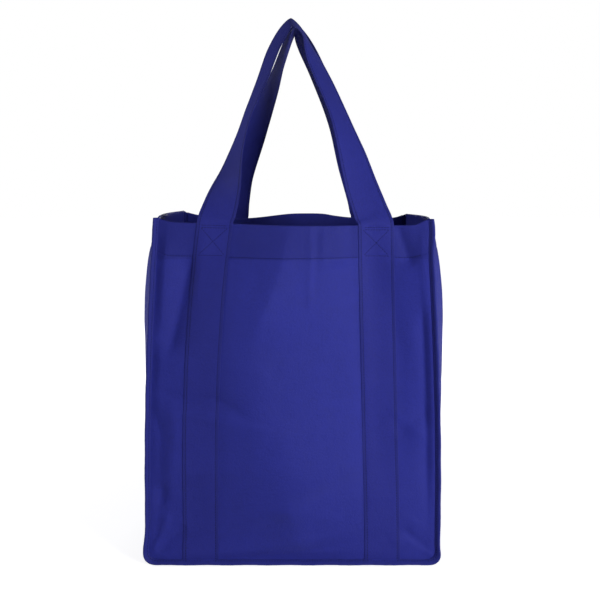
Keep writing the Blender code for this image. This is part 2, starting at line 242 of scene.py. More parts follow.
BACK = {
    "name": "back",
    "facing": 1,
    "strap_at_base": (-0.1058, 0.1042),
    "strap_at_rim": (-0.0828, 0.0982),
    "strap_curve": (2.0, 1.5),
    "strap_pull": 0.012,
    "rim_bow": 0.014,
    "rim_height": (
        (-0.151, 0.0075), (-0.147, 0.0050), (-0.129, 0.0009), (-0.095, -0.0024), (-0.063, -0.0026),
        (-0.041, -0.0012), (-0.008, 0.0020), (0.015, 0.0028), (0.040, 0.0027), (0.056, 0.0004),
        (0.078, -0.0016), (0.132, -0.0024), (0.141, -0.0010), (0.151, 0.0031),
    ),
    "peak_x": 0.0014,
    "stand_off": (
        ((0.0, 0), (0.06, 0.0070), (0.14, 0.0122), (0.28, 0.0098), (0.5, 0.0058), (0.8, 0.0035), (1.0, 0)),
        ((0.0, 0), (0.06, 0.0050), (0.16, 0.0078), (0.3, 0.0112), (0.5, 0.0100), (0.8, 0.0045), (1.0, 0)),
    ),
    "twist": (
        ((0.0, 0), (0.15, 20), (0.30, 45), (0.45, 64), (0.58, 77), (1.0, 80)),
        ((0.0, 4), (0.13, 26), (0.30, 54), (0.50, 62), (0.70, 66), (1.0, 76)),
    ),
}

# Folds of the panels: the line of the fold as (x, z), its height out of the panel (below zero for
# a valley), how far it reaches to each side, and how sharp its crest is, all in millimetres
FRONT["folds"] = (
    # The belly of the panel left of its middle, the dip under the right strap and a crest beside it
    (((-46, 380), (-58, 250), (-46, 180), (0, 100), (30, 40)), 15.5, 42, 34),
    (((88, 404), (94, 240), (96, 80)), -12.5, 38, 20),
    (((52, 404), (54, 372), (58, 345)), 3.2, 26, 8),
    # The valley from the left strap's foot at the rim to the left side, with a crest on each side
    (((-113, 366), (-124, 310), (-142, 240)), -8.8, 16, 3),
    (((-140, 380), (-147, 320), (-152, 262)), 2.2, 12, 5),
    (((-98, 392), (-104, 345), (-110, 300)), 2.0, 9, 4),
    # The hem's hollow beside the left strap and the crest that leads down and to the left
    (((-62, 396), (-62, 350)), -3.2, 18, 8),
    (((-4, 404), (-12, 352), (-27, 309), (-46, 262)), 4.1, 20, 3),
    (((-36, 352), (-50, 304), (-64, 270)), -1.5, 12, 5),
    # Upright ridges in the middle, with a valley beside each
    (((21, 400), (20, 350), (19, 296)), 1.5, 4, 0.8),
    (((27, 396), (26, 350), (24, 314)), -1.1, 4, 1.5),
    (((36, 398), (35, 345)), 0.5, 4, 1.5),
    (((66, 400), (65, 372), (66, 350)), -2.0, 6, 2),
    # Side folds that cross the left strap and fade in the middle
    (((-160, 206), (-123, 194), (-89, 196), (-41, 170)), -4.2, 11, 2),
    (((-150, 184), (-110, 178), (-60, 168), (-20, 162)), 1.8, 8, 3),
    (((-100, 236), (-60, 236), (-20, 224)), 1.2, 12, 6),
    (((-30, 150), (20, 160), (70, 148)), 1.2, 14, 6),
    (((60, 219), (100, 205), (140, 212)), 1.1, 12, 6),
    (((112, 330), (124, 240), (126, 120)), -2.8, 14, 6),
    # Dents by the left seam
    (((-158, 182), (-150, 150), (-153, 96)), -2.5, 9, 4),
    (((-140, 200), (-134, 160), (-139, 118), (-144, 62)), 2.9, 10, 3.5),
    (((-150, 96), (-151, 70)), -3.0, 8, 3),
    # Corner folds at the lower left
    (((-163, 12), (-152, 34), (-143, 62)), 3.0, 6, 1.5),
    (((-154, 10), (-140, 30), (-122, 44)), -2.2, 7, 2),
    # Above the base: a hollow at the left, a swell in the middle and a low crest across
    (((-116, 110), (-114, 56), (-112, 10)), -4.5, 54, 14),
    (((-10, 84), (2, 48), (8, 16)), 8.2, 48, 4),
    (((-70, 70), (-20, 74), (30, 62), (60, 52)), 1.8, 12, 6),
    # Dents and folds by the right seam
    (((118, 398), (126, 372), (136, 346)), -5.2, 9, 2),
    (((143, 388), (147, 340), (151, 280)), 2.8, 7, 3),
    (((108, 186), (136, 162), (160, 142)), 2.0, 10, 4),
    (((118, 150), (140, 168), (158, 186)), -2.0, 9, 4),
    (((146, 330), (152, 240), (155, 150), (156, 50)), -2.8, 6, 2),
    # Corner folds at the lower right
    (((126, 44), (146, 24), (160, 14)), -3.0, 6, 1.5),
    (((132, 30), (150, 18), (162, 10)), 2.2, 5, 1),
    (((112, 24), (130, 34), (146, 56)), 1.8, 8, 3),
    # The panel dips along the straps' edges, where the stiffer strap stands proud
    (((71, 340), (76, 250), (81, 150), (82, 30)), -2.0, 5, 2),
    (((-74, 330), (-80, 230), (-84, 150), (-85, 40)), -1.2, 5, 2),
)
BACK["folds"] = (
    (((-112, 386), (-124, 330), (-142, 268)), -2.4, 14, 4),
    (((112, 388), (122, 336), (138, 280)), -2.6, 15, 4),
    (((-20, 394), (-28, 340), (-44, 280)), 2.0, 20, 4),
    (((30, 394), (36, 340), (48, 276)), 1.6, 18, 4),
    (((4, 394), (2, 340)), -0.9, 8, 3),
    (((-30, 230), (-10, 170), (0, 110)), 2.8, 44, 30),
    (((-150, 176), (-110, 184), (-60, 172)), -0.8, 9, 3),
    (((50, 196), (100, 186), (150, 194)), -0.7, 9, 3),
    (((-164, 12), (-150, 34), (-138, 66)), 1.3, 6, 1.5),
    (((-152, 10), (-136, 28), (-118, 40)), -0.8, 7, 2),
    (((164, 12), (152, 36), (144, 66)), 1.2, 6, 1.5),
    (((150, 10), (134, 30), (118, 44)), -0.9, 7, 2),
    (((-60, 48), (-10, 42), (50, 50)), -1.6, 24, 12),
    (((-158, 150), (-142, 138), (-130, 116)), -1.0, 8, 3),
    (((158, 160), (144, 140), (138, 110)), -1.0, 8, 3),
)

# Folds of the gusset's sides, as (y, z) lines in the same form: the middle crease from when the
# bag is sold flat, the fold's arms to the lower corners, and softer creases
SIDE_FOLDS = (
    (((0, 398), (2, 300), (-2, 200), (0, 120)), -1.6, 8, 1.5),
    (((0, 120), (-50, 60), (-100, 14)), -1.0, 6, 1.5),
    (((0, 120), (50, 62), (100, 14)), -1.0, 6, 1.5),
    (((-70, 380), (-60, 320), (-66, 250)), 1.4, 14, 5),
    (((66, 384), (58, 310), (64, 250)), 1.3, 14, 5),
    (((-90, 210), (-40, 200), (-6, 214)), -0.7, 9, 3),
    (((8, 176), (50, 168), (96, 180)), -0.7, 9, 3),
    (((-40, 110), (0, 96), (40, 112)), 0.8, 12, 5),
    (((-96, 120), (-80, 80), (-60, 40)), 0.8, 9, 3),
    (((96, 130), (84, 84), (60, 44)), 0.8, 9, 3),
)


# Numbers and curves


def mix(a, b, share):
    return a + (b - a) * share


def clamp(value, low=0.0, high=1.0):
    return np.minimum(np.maximum(value, low), high)


def ease(value):
    """From 0 to 1 with level ends."""
    share = clamp(value)
    return share * share * (3 - 2 * share)


def smooth_through(stops, at):
    """Read a smooth curve through (place, value) stops, at one place or an array of them."""
    at = np.asarray(at, float)
    places = np.array([stop[0] for stop in stops], float)
    values = np.array([stop[1] for stop in stops], float)
    k = np.clip(np.searchsorted(places, at, side="left") - 1, 0, len(stops) - 2)
    before = np.maximum(k - 1, 0)
    after = np.minimum(k + 2, len(stops) - 1)
    run = places[k + 1] - places[k]
    share = clamp((at - places[k]) / run)
    slope_in = (values[k + 1] - values[before]) / (places[k + 1] - places[before]) * run
    slope_out = (values[after] - values[k]) / (places[after] - places[k]) * run
    square, cube = share**2, share**3
    return (
        values[k] * (2 * cube - 3 * square + 1)
        + values[k + 1] * (3 * square - 2 * cube)
        + slope_in * (cube - 2 * square + share)
        + slope_out * (cube - square)
    )


def normalised(vectors):
    return vectors / np.maximum(np.linalg.norm(vectors, axis=-1, keepdims=True), 1e-9)


def run_along(points):
    """The length along a line of points, from its start to each of them."""
    return np.concatenate([[0], np.cumsum(np.linalg.norm(np.diff(points, axis=0), axis=1))])


def spaced(start, end, step):
    """Even places after start up to end, at most a step apart."""
    count = max(1, math.ceil(abs(end - start) / step))
    return list(np.linspace(start, end, count + 1)[1:])


# Folds


def fold_height(across, up, line, height, reach, softness):
    """How far one fold lifts the cloth at places given in millimetres."""
    line = np.array(line, float)
    lengths = np.linalg.norm(np.diff(line, axis=0), axis=1)
    total = lengths.sum()
    nearest = np.full(across.shape, np.inf)
    along = np.zeros(across.shape)
    done = 0.0
    for first, step, length in zip(line, np.diff(line, axis=0), lengths):
        t = clamp(((across - first[0]) * step[0] + (up - first[1]) * step[1]) / length**2)
        away = np.hypot(across - first[0] - t * step[0], up - first[1] - t * step[1])
        closer = away < nearest
        along = np.where(closer, (done + t * length) / total, along)
        nearest = np.where(closer, away, nearest)
        done += length
    crest = np.exp(-(np.sqrt(nearest**2 + softness**2) - softness) / reach)
    start = ease(along / FOLD_FADE + FOLD_FADE_START)
    end = ease((1 - along) / FOLD_FADE + FOLD_FADE_START)
    return height * crest * (start * end)


def rumple(across, up, seed):
    """Faint uneven waves of cloth that has been folded and handled, in millimetres."""
    height = np.zeros(across.shape)
    for k in range(RUMPLE_WAVES):
        turn = RUMPLE_TURN * k + seed
        length = RUMPLE_SHORTEST + RUMPLE_STEP * k
        phase = RUMPLE_PHASE * k * k + SEED_PHASE * seed
        wave = np.sin((across * math.cos(turn) + up * math.sin(turn)) * 2 * math.pi / length + phase)
        height += wave * RUMPLE_SLOPE * length
    return height


def relief(folds, across, up, from_edge, seed):
    """All folds of a sheet, in metres; across and up are in metres, and they fade at its seams."""
    a, u = across / MM, up / MM
    height = rumple(a, u, seed)
    for line, lift, reach, softness in folds:
        height = height + fold_height(a, u, line, lift, reach, softness)
    return height * MM * ease(from_edge / SEAM_ZONE)


# Form of the bag, as in the solids


def height_share(z):
    return clamp(z / HEIGHT)


def half_width(z):
    share = clamp((z - TAPER_START) / (HEIGHT - TAPER_START))
    return WIDTH / 2 - (WIDTH - MOUTH_WIDTH) / 2 * share**TAPER_POWER


def half_depth(z):
    return DEPTH / 2 - (DEPTH - MOUTH_DEPTH) / 2 * height_share(z) ** LEAN_POWER


def strap_middle(side, leg, z):
    share = height_share(z) ** side["strap_curve"][leg]
    return mix(side["strap_at_base"][leg], side["strap_at_rim"][leg], share)


def panel_stand_out(side, x, z):
    """The panel's distance from the bag's middle plane: drawn in at the straps, bowed between."""
    strap = np.where(x < 0, -strap_middle(side, 0, z), strap_middle(side, 1, z))
    edge = half_width(z)
    reach = np.abs(x)
    inner = 0.5 + 0.5 * np.cos(math.pi * clamp(reach / strap))
    outer = 0.5 + 0.5 * np.cos(math.pi * clamp((reach - strap) / (edge - strap)))
    bowed = mix(-side["strap_pull"], side["rim_bow"], inner)
    wave = np.where(reach < strap, bowed, -side["strap_pull"] * outer)
    return half_depth(z) + wave * height_share(z) ** RIM_BOW_POWER


def corner_place(across, up):
    """Turn a square corner's distances from its two seams into a round corner's."""
    ring = np.minimum(across, up)
    far = np.maximum(across, up)
    radius = np.maximum(CORNER_RADIUS - ring, 1e-6)
    turn = math.radians(45) * (far - ring) / radius
    angle = math.radians(45) + np.where(across < up, -turn, turn)
    inside = far < CORNER_RADIUS
    sideways = np.where(inside, np.cos(angle), np.where(across <= up, 1.0, 0.0))
    downwards = np.where(inside, np.sin(angle), np.where(across <= up, 0.0, 1.0))
    on_sheet = np.minimum(radius, CORNER_RADIUS)
    from_side = np.where(inside, CORNER_RADIUS - on_sheet * sideways, np.maximum(across, 0))
    above = np.where(inside, CORNER_RADIUS - on_sheet * downwards, np.maximum(up, 0))
    return from_side, above, sideways, downwards


def ridge_direction(sideways, downwards, x_sign, facing):
    """The way a seam ridge points, a little longer at the corners, which stand out more."""
    angle = mix(RIDGE_ANGLE_SIDE, RIDGE_ANGLE_BASE, downwards**2)
    along = np.sin(angle) * (1 + RIDGE_CORNER_REACH * (2 * sideways * downwards) ** 2)
    return np.stack([x_sign * sideways * along, facing * np.cos(angle), -downwards * along], axis=-1)


def panel_points(side, x, up):
    """Points of the panel's middle surface, and of the allowance beyond its seam lines."""
    z = SEAM_HEIGHT + np.maximum(up, 0)
    edge = half_width(z) - SEAM_OFFSET
    x_sign = np.where(x < 0, -1.0, 1.0)
    from_side, above, sideways, downwards = corner_place(edge - np.abs(x), up)
    beyond = np.maximum(0, -np.minimum(edge - np.abs(x), up))
    place_x = x_sign * (edge - from_side)
    place_z = SEAM_HEIGHT + above
    stand_out = panel_stand_out(side, place_x, place_z)
    from_edge = np.minimum(from_side, above)
    stand_out = stand_out + relief(side["folds"], place_x, place_z, from_edge, side["facing"] + 2)
    rim = smooth_through(side["rim_height"], clamp(place_x, -MOUTH_WIDTH / 2, MOUTH_WIDTH / 2))
    place_z = place_z + rim * height_share(place_z) ** RIM_HEIGHT_POWER
    points = np.stack([place_x, side["facing"] * stand_out, place_z], axis=-1)
    return points + beyond[..., None] * ridge_direction(sideways, downwards, x_sign, side["facing"])


def flared(points):
    """The same points, moved out where the bag stands wider at a corner."""
    points = np.array(points, float)
    x, z = points[..., 0], points[..., 2]
    for side, height, widening, reach in FLARES:
        share = ease((x * side - FLARE_START) / FLARE_RUN)
        x += side * widening * share * np.exp(-(((z - height) / reach) ** 2))
    return points


def grid_normals(points):
    """A unit normal at each point of a grid, along the cross product of rows and columns."""
    return normalised(np.cross(np.gradient(points, axis=1), np.gradient(points, axis=0)))


def turned_out(side, normals):
    """Normals of a panel, turned to the side that it faces."""
    return normals * np.sign(normals[..., 1:2]) * side["facing"]


# Meshes


def add_object(name, data):
    made = bpy.data.objects.new(name, data)
    bpy.context.collection.objects.link(made)
    return made


def smooth_object(name, points, faces, flat=None):
    """A smooth mesh. flat holds each point's place on the flat cloth, in metres, for the weave."""
    mesh = bpy.data.meshes.new(name)
    mesh.from_pydata(flared(points).tolist(), [], faces)
    if flat is not None:
        layer = mesh.uv_layers.new(name="flat")
        corners = np.empty(len(mesh.loops), dtype=np.int32)
        mesh.loops.foreach_get("vertex_index", corners)
        layer.data.foreach_set("uv", flat[corners].astype(np.float32).ravel())
    mesh.validate()
    mesh.shade_smooth()
    return add_object(name, mesh)


def cut_sheet(name, grid, flat, faces):
    """A sheet of cloth from a grid of points, with only the points that its faces use."""
    used, numbers = np.unique(faces, return_inverse=True)
    numbers = numbers.reshape(faces.shape).tolist()
    made = smooth_object(name, grid.reshape(-1, 3)[used], numbers, flat.reshape(-1, 2)[used])
    shell = made.modifiers.new("cloth", "SOLIDIFY")
    shell.thickness = CLOTH
    shell.offset = 0.0
    shell.use_even_offset = True
    shell.use_quality_normals = True
    return made


def flat_places(across, along):
    """The place on the flat cloth of each point of a grid, from its columns' and rows' places."""
    return np.stack(np.broadcast_arrays(across[None, :], along[:, None]), axis=-1)


def quads(rows, columns, flip=False):
    """The faces of a grid of points, counted row by row."""
    numbers = np.arange(rows * columns).reshape(rows, columns)
    low, high = numbers[:-1], numbers[1:]
    made = np.stack([low[:, :-1], low[:, 1:], high[:, 1:], high[:, :-1]], axis=-1)
    return made[..., ::-1] if flip else made


def folded_hem(points, out, rows):
    """The crest of a hem at the first of these rows, then the cloth folded back inside them all."""
    crest = points[rows[:1]] - out[rows[:1]] * HEM_FOLD + np.array([0, 0, HEM_FOLD])
    return np.concatenate([crest, points[rows] - out[rows] * 2 * HEM_FOLD])


def off_seams(faces, *hems):
    """The faces of a grid without those where its folded hems would lie in the seams."""
    keep = np.ones(faces.shape[:2], bool)
    for rows in hems:
        keep[rows, :SEAM_COLUMNS] = False
        keep[rows, -SEAM_COLUMNS:] = False
    return faces[keep]


def ring_faces(count, size):
    """The faces between rings of points, with the points' numbers ring by ring."""
    numbers = np.arange(count * size).reshape(count, size)
    after = np.roll(numbers, -1, axis=1)
    sides = np.stack([numbers[:-1], after[:-1], after[1:], numbers[1:]], axis=-1)
    return sides.reshape(-1, 4), numbers


def tube_mesh(name, sections, flat):
    """A mesh swept through rings of points, with both ends closed."""
    sides, numbers = ring_faces(*sections.shape[:2])
    faces = sides.tolist() + [numbers[0][::-1].tolist(), numbers[-1].tolist()]
    return smooth_object(name, sections.reshape(-1, 3), faces, flat.reshape(-1, 2))


# Panels


def seam_rows():
    """Distances inwards from a seam line, from its allowance's edge to its zone's end."""
    return [-SEAM_ALLOWANCE, -SEAM_ALLOWANCE / 2, -SEAM_TURN, 0.0] + spaced(0.0, SEAM_ZONE, FINE)


def panel_rows():
    """Heights above the bottom seam: fine at the seam, at the hem's stitches and at the rim."""
    stitch = PANEL_TOP - HEM_STITCH
    made = seam_rows()
    made += spaced(SEAM_ZONE, stitch - 2 * FINE, CLOTH_STEP)
    made += spaced(stitch - 2 * FINE, stitch + 2 * FINE, FINE / 2)
    made += spaced(stitch + 2 * FINE, PANEL_TOP - 3 * FINE, CLOTH_STEP)
    made += spaced(PANEL_TOP - 3 * FINE, PANEL_TOP, FINE)
    return np.array(made)


def panel_columns(z):
    """Places across the panel at each height: fixed distances near the seams, shares between."""
    edge = half_width(z) - SEAM_OFFSET
    near = seam_rows()
    shares = spaced(-1.0, 1.0, 2 * CLOTH_STEP / WIDTH)[:-1]
    left = [-edge + d for d in near]
    middle = [(edge - SEAM_ZONE) * share for share in shares]
    right = [edge - d for d in reversed(near)]
    return np.stack(left + middle + right, axis=-1)


def hem_groove(away):
    """How far the hem's stitches press the cloth in, at distances from their line."""
    return HEM_GROOVE_DEPTH * np.exp(-((away / HEM_GROOVE_REACH) ** 2))


def make_panel(side):
    """A panel with its seam allowances and its rim folded in to a hem, as one sheet."""
    heights = panel_rows()
    z = SEAM_HEIGHT + np.maximum(heights, 0)
    x = panel_columns(z)
    up = np.repeat(heights[:, None], x.shape[1], axis=1)
    points = panel_points(side, x, up)
    out = turned_out(side, grid_normals(points))
    points = points - out * hem_groove(up - PANEL_TOP + HEM_STITCH)[..., None]
    top = heights[-1]
    hem_rows = np.nonzero(heights > top - HEM_DEPTH)[0][::-1]
    sheet = np.concatenate([points, folded_hem(points, out, hem_rows)])
    flat_up = np.concatenate([heights, [top + HEM_FOLD], 2 * top + 2 * HEM_FOLD - heights[hem_rows]])
    flat_x = np.concatenate([x, x[-1:], x[hem_rows]])
    flat = np.stack([flat_x, np.repeat(flat_up[:, None], x.shape[1], axis=1)], axis=-1)
    faces = off_seams(quads(*sheet.shape[:2], flip=side["facing"] > 0), slice(len(heights) - 1, None))
    made = cut_sheet(side["name"] + "_cloth", sheet, flat, faces)
    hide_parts(side["name"] + "_panel")
    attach(made, "root")
    return made


# Gusset


def seam_stations(side):
    """Places along a panel's seam line, from the left rim down, along the base and up again."""
    heights = panel_rows()
    heights = heights[heights >= 0]
    base = panel_columns(np.array([SEAM_HEIGHT]))[0]
    edge = half_width(np.array(SEAM_HEIGHT)) - SEAM_OFFSET
    base = base[np.abs(base) < edge - 1e-6]
    rising = heights[heights > 1e-6]
    upright = half_width(SEAM_HEIGHT + rising) - SEAM_OFFSET
    x = np.concatenate([-upright[::-1], base, upright])
    up = np.concatenate([rising[::-1], np.zeros(len(base)), rising])
    points = panel_points(side, x, up)
    z = SEAM_HEIGHT + up
    _, _, sideways, downwards = corner_place(half_width(z) - SEAM_OFFSET - np.abs(x), up)
    return points, sideways, downwards, np.where(x < 0, -1.0, 1.0)


def make_gusset():
    """The strip that makes both sides and the base, with a folded hem at each end."""
    front, sideways, downwards, x_sign = seam_stations(FRONT)
    back, _, _, _ = seam_stations(BACK)
    outwards = np.stack([x_sign * sideways, np.zeros(len(front)), -downwards], axis=-1)
    inwards = np.array([0, SEAM_OFFSET, 0])
    start = front + outwards * SEAM_OFFSET + inwards
    end = back + outwards * SEAM_OFFSET - inwards
    near = np.array([0.0] + spaced(0.0, SEAM_ZONE, FINE)) / DEPTH
    middle = np.array(spaced(near[-1], 1 - near[-1], CLOTH_STEP / DEPTH))[:-1]
    shares = np.concatenate([near, middle, 1 - near[::-1]])
    span = start[:, None] + (end - start)[:, None] * shares[None, :, None]
    z = span[..., 2] - SEAM_HEIGHT
    share = height_share(z)
    depth_bow = 1 - (2 * shares[None] - 1) ** 2
    size = np.where(x_sign < 0, BULGE[-1], BULGE[1])[:, None]
    bulge = size * share**BULGE_POWER * (1 - BULGE_RIM_LOSS * share**BULGE_RIM_POWER)
    from_seam = np.minimum(shares, 1 - shares)[None] * DEPTH
    creases = relief(SIDE_FOLDS, span[..., 1], span[..., 2], from_seam, GUSSET_SEED)
    span[..., 0] += (x_sign * sideways)[:, None] * (bulge * depth_bow + creases)
    low = clamp(1 - z / BASE_SAG_HEIGHT)
    floor_drop = SEAM_HEIGHT - SEAM_OFFSET - CLOTH / 2
    span[..., 2] -= floor_drop * low * ease(from_seam / BASE_SAG_RUN)
    ridge_front = ridge_direction(sideways, downwards, x_sign, -1)
    ridge_back = ridge_direction(sideways, downwards, x_sign, 1)
    first = [start + ridge_front * SEAM_ALLOWANCE * share for share in reversed(ALLOWANCE_SHARES)]
    last = [end + ridge_back * SEAM_ALLOWANCE * share for share in ALLOWANCE_SHARES]
    grid = np.concatenate([np.stack(first, axis=1), span, np.stack(last, axis=1)], axis=1)
    length = run_along(start)
    allowance = np.array(ALLOWANCE_SHARES) * SEAM_ALLOWANCE
    flat_y = np.concatenate([-allowance[::-1], shares * DEPTH, DEPTH + allowance])
    out = grid_normals(grid)
    inside_out = np.sum(out * outwards[:, None], axis=-1, keepdims=True) < 0
    out = out * np.where(inside_out, -1, 1)
    from_stitch = np.minimum(np.abs(length - HEM_STITCH), np.abs(length[-1] - length - HEM_STITCH))
    grid = grid - out * hem_groove(from_stitch)[:, None, None]
    left_rows = np.nonzero(length < HEM_DEPTH)[0]
    right_rows = np.nonzero(length[-1] - length < HEM_DEPTH)[0][::-1]
    left_hem = folded_hem(grid, out, left_rows)[::-1]
    sheet = np.concatenate([left_hem, grid, folded_hem(grid, out, right_rows)])
    before = -HEM_FOLD - length[left_rows[::-1]]
    after = length[-1] + HEM_FOLD + (length[-1] - length[right_rows])
    flat_x = np.concatenate([before, [-HEM_FOLD / 2], length, [length[-1] + HEM_FOLD / 2], after])
    flat = flat_places(flat_y, flat_x)
    hems = (slice(len(left_hem)), slice(-len(left_hem), None))
    made = cut_sheet("gusset_cloth", sheet, flat, off_seams(quads(*sheet.shape[:2]), *hems))
    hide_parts("gusset")
    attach(made, "root")
    return made


# Seam tape


def make_tape(side):
    """The folded tape round the two seam allowances, pressed in along its stitches."""
    points, sideways, downwards, x_sign = seam_stations(side)
    facing = side["facing"]
    to_gusset = np.stack([x_sign * sideways, -facing + 0 * x_sign, -downwards], axis=-1)
    centre = points + to_gusset * (SEAM_OFFSET / 2)
    away = ridge_direction(sideways, downwards, x_sign, facing)
    tangent = np.stack([downwards, 0 * x_sign, x_sign * sideways], axis=-1)
    across = normalised(np.cross(away, tangent))
    length = run_along(points)
    half, thin = TAPE_HALF, TAPE_HALF - TAPE_CLOTH
    outer = [
        (TAPE_START, half * 0.82),
        (TAPE_STITCH - TAPE_GROOVE, half * 0.98),
        (TAPE_STITCH, half * 0.74),
        (TAPE_STITCH + TAPE_GROOVE, half),
        (TAPE_END - TAPE_SHOULDER, half * 1.04),
        (TAPE_END - TAPE_ROUND, half * 0.75),
    ]
    inner = [
        (TAPE_START, -thin * 0.7),
        (TAPE_END - TAPE_CLOTH - TAPE_ROUND, -thin),
        (TAPE_END - TAPE_CLOTH - TAPE_ROUND, thin),
        (TAPE_START, thin * 0.7),
    ]
    profile = outer + [(TAPE_END, 0.0)] + [(a, -b) for a, b in reversed(outer)] + inner
    pucker = sum(height * np.sin(length / wave * 2 * math.pi) for wave, height in TAPE_PUCKERS)
    rings = []
    for a, b in profile:
        reach = a + pucker * (a / TAPE_END)
        rings.append(centre + away * reach[:, None] + across * b)
    sections = np.stack(rings, axis=1)
    around = np.cumsum([0.0] + [math.dist(p, q) for p, q in zip(profile, profile[1:])])
    made = tube_mesh(side["name"] + "_seam_tape", sections, flat_places(around, length))
    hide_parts(side["name"] + "_binding")
    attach(made, "root")
    line = centre + away * TAPE_STITCH
    return made, [(line + across * half * 0.78 * s, across * s) for s in (1, -1)]


# Straps


def strap_profile():
    """The strap's section as (across, out): a doubled strip with rounded edges, pressed in where
    its two edge seams run. The outer face comes first, then the inner face back again.
    """
    half, thick = STRAP_WIDTH / 2, STRAP_HALF_THICKNESS
    stitch = half - STRAP_STITCH_INSET
    pressed = (stitch, thick * 0.40)
    edge = [
        (half, 0.0),
        (half - STRAP_ROUND[0], thick * 0.7),
        (half - STRAP_ROUND[1], thick),
        (half - STRAP_ROUND[2], thick),
        (stitch + STRAP_GROOVE, thick * 0.9),
        pressed,
        (stitch - STRAP_GROOVE, thick * 0.9),
    ]
    flat_end = stitch - STRAP_FLAT
    flat_part = [(a, thick) for a in np.linspace(flat_end, -flat_end, STRAP_COLUMNS)]
    outer = edge + flat_part + [(-a, b) for a, b in reversed(edge)]
    inner = [(a, -b) for a, b in reversed(outer[1:-1])]
    return np.array(outer + inner), edge.index(pressed), len(outer)


def panel_frame(side, x, up):
    """Places on the panel with all its folds, and the outward normals there."""
    point = panel_points(side, x, up)
    step = NORMAL_STEP
    along = panel_points(side, x + step, up) - panel_points(side, x - step, up)
    rising = panel_points(side, x, up + step) - panel_points(side, x, up - step)
    return point, turned_out(side, normalised(np.cross(along, rising)))


def cross_stitch_lines():
    """The box and cross sewn on a strap in the hem, as lines of (across, height below the rim)."""
    x, top, low = BOX_HALF_WIDTH, BOX_TOP, BOX_LOW
    return (
        ((-x, top), (x, top)),
        ((-x, top + BOX_DOUBLE), (x, top + BOX_DOUBLE)),
        ((-x, low), (x, low)),
        ((-x, top + BOX_DOUBLE), (x, low)),
        ((x, top + BOX_DOUBLE), (-x, low)),
    )


def box_groove(across, below):
    """How far the box and cross stitches press the strap in."""
    depth = np.zeros(np.broadcast(across, below).shape)
    for (a, u), (b, v) in cross_stitch_lines():
        run = (b - a) ** 2 + (v - u) ** 2
        t = clamp(((across - a) * (b - a) + (below - u) * (v - u)) / run)
        away = np.hypot(across - a - t * (b - a), below - u - t * (v - u))
        depth = np.maximum(depth, np.exp(-((away / GROOVE_REACH) ** 2)))
    return depth * GROOVE_DEPTH


def on_strap(side, leg, across, z, out_by):
    """Places on a strap where it lies on the panel; across is towards the inside of the loop."""
    sign = 1 if leg == 0 else -1
    x = strap_middle(side, leg, z) + sign * across
    point, out = panel_frame(side, x, z - SEAM_HEIGHT)
    lift = CLOTH / 2 + STRAP_GAP + STRAP_HALF_THICKNESS + out_by
    return point + out * lift[..., None], out


def strap_rows():
    """Heights of the strap's sections on the panel, from inside the taped seam up to the rim."""
    start = SEAM_HEIGHT - STRAP_TUCK
    above_seam = SEAM_HEIGHT + 2 * FINE
    box_start = HEIGHT - BOX_LOW - 2 * FINE
    made = [start] + spaced(start, above_seam, FINE / 2) + spaced(above_seam, box_start, STRAP_STEP)
    return np.array(made + spaced(box_start, HEIGHT, BOX_STEP))


def leg_centre(side, leg, start, peak_height, share):
    outward = -1 if leg == 0 else 1
    rise = 1 - (1 - share) ** 2
    bow = outward * smooth_through(side["stand_off"][leg], share)
    x = mix(start[0], side["peak_x"], rise) + bow
    y = mix(start[1], side["facing"] * HANDLE_SPREAD / 2, rise)
    return np.stack([x, y, mix(start[2], peak_height, rise)], axis=-1)


def handle_leg(side, leg, foot, foot_tangent, foot_across, peak_height):
    """One leg of the handle, from the rim to the peak: its middle line and its across vectors."""
    share = np.linspace(0, 1, LEG_STATIONS + 1)[1:]
    centre = leg_centre(side, leg, foot, peak_height, share)
    leading = np.concatenate([[foot], centre])
    length = np.cumsum(np.linalg.norm(np.diff(leading, axis=0), axis=1))
    lean = normalised(leading[1] - leading[0]) - foot_tangent
    centre = centre - lean * (length * np.exp(-((length / RIM_BEND) ** 2)))[:, None]
    ends = np.concatenate([[foot], centre, [2 * centre[-1] - centre[-2]]])
    tangent = normalised(ends[2:] - ends[:-2]) * (1 if leg == 0 else -1)
    inner = normalised(np.stack([tangent[:, 2], 0 * share, -tangent[:, 0]], axis=-1))
    hung = clamp((share - PEAK_START) / (1 - PEAK_START))[:, None]
    inner = normalised(mix(inner, np.array([0, 0, -1.0]), hung))
    twist = np.radians(smooth_through(side["twist"][leg], share))[:, None]
    across = inner * np.cos(twist) + np.array([0, side["facing"], 0]) * np.sin(twist)
    square_on = normalised(across - tangent * np.sum(across * tangent, axis=-1, keepdims=True))
    across = normalised(mix(square_on, across, hung))
    return centre, normalised(mix(foot_across, across, ease(length / RIM_TURN)[:, None]))


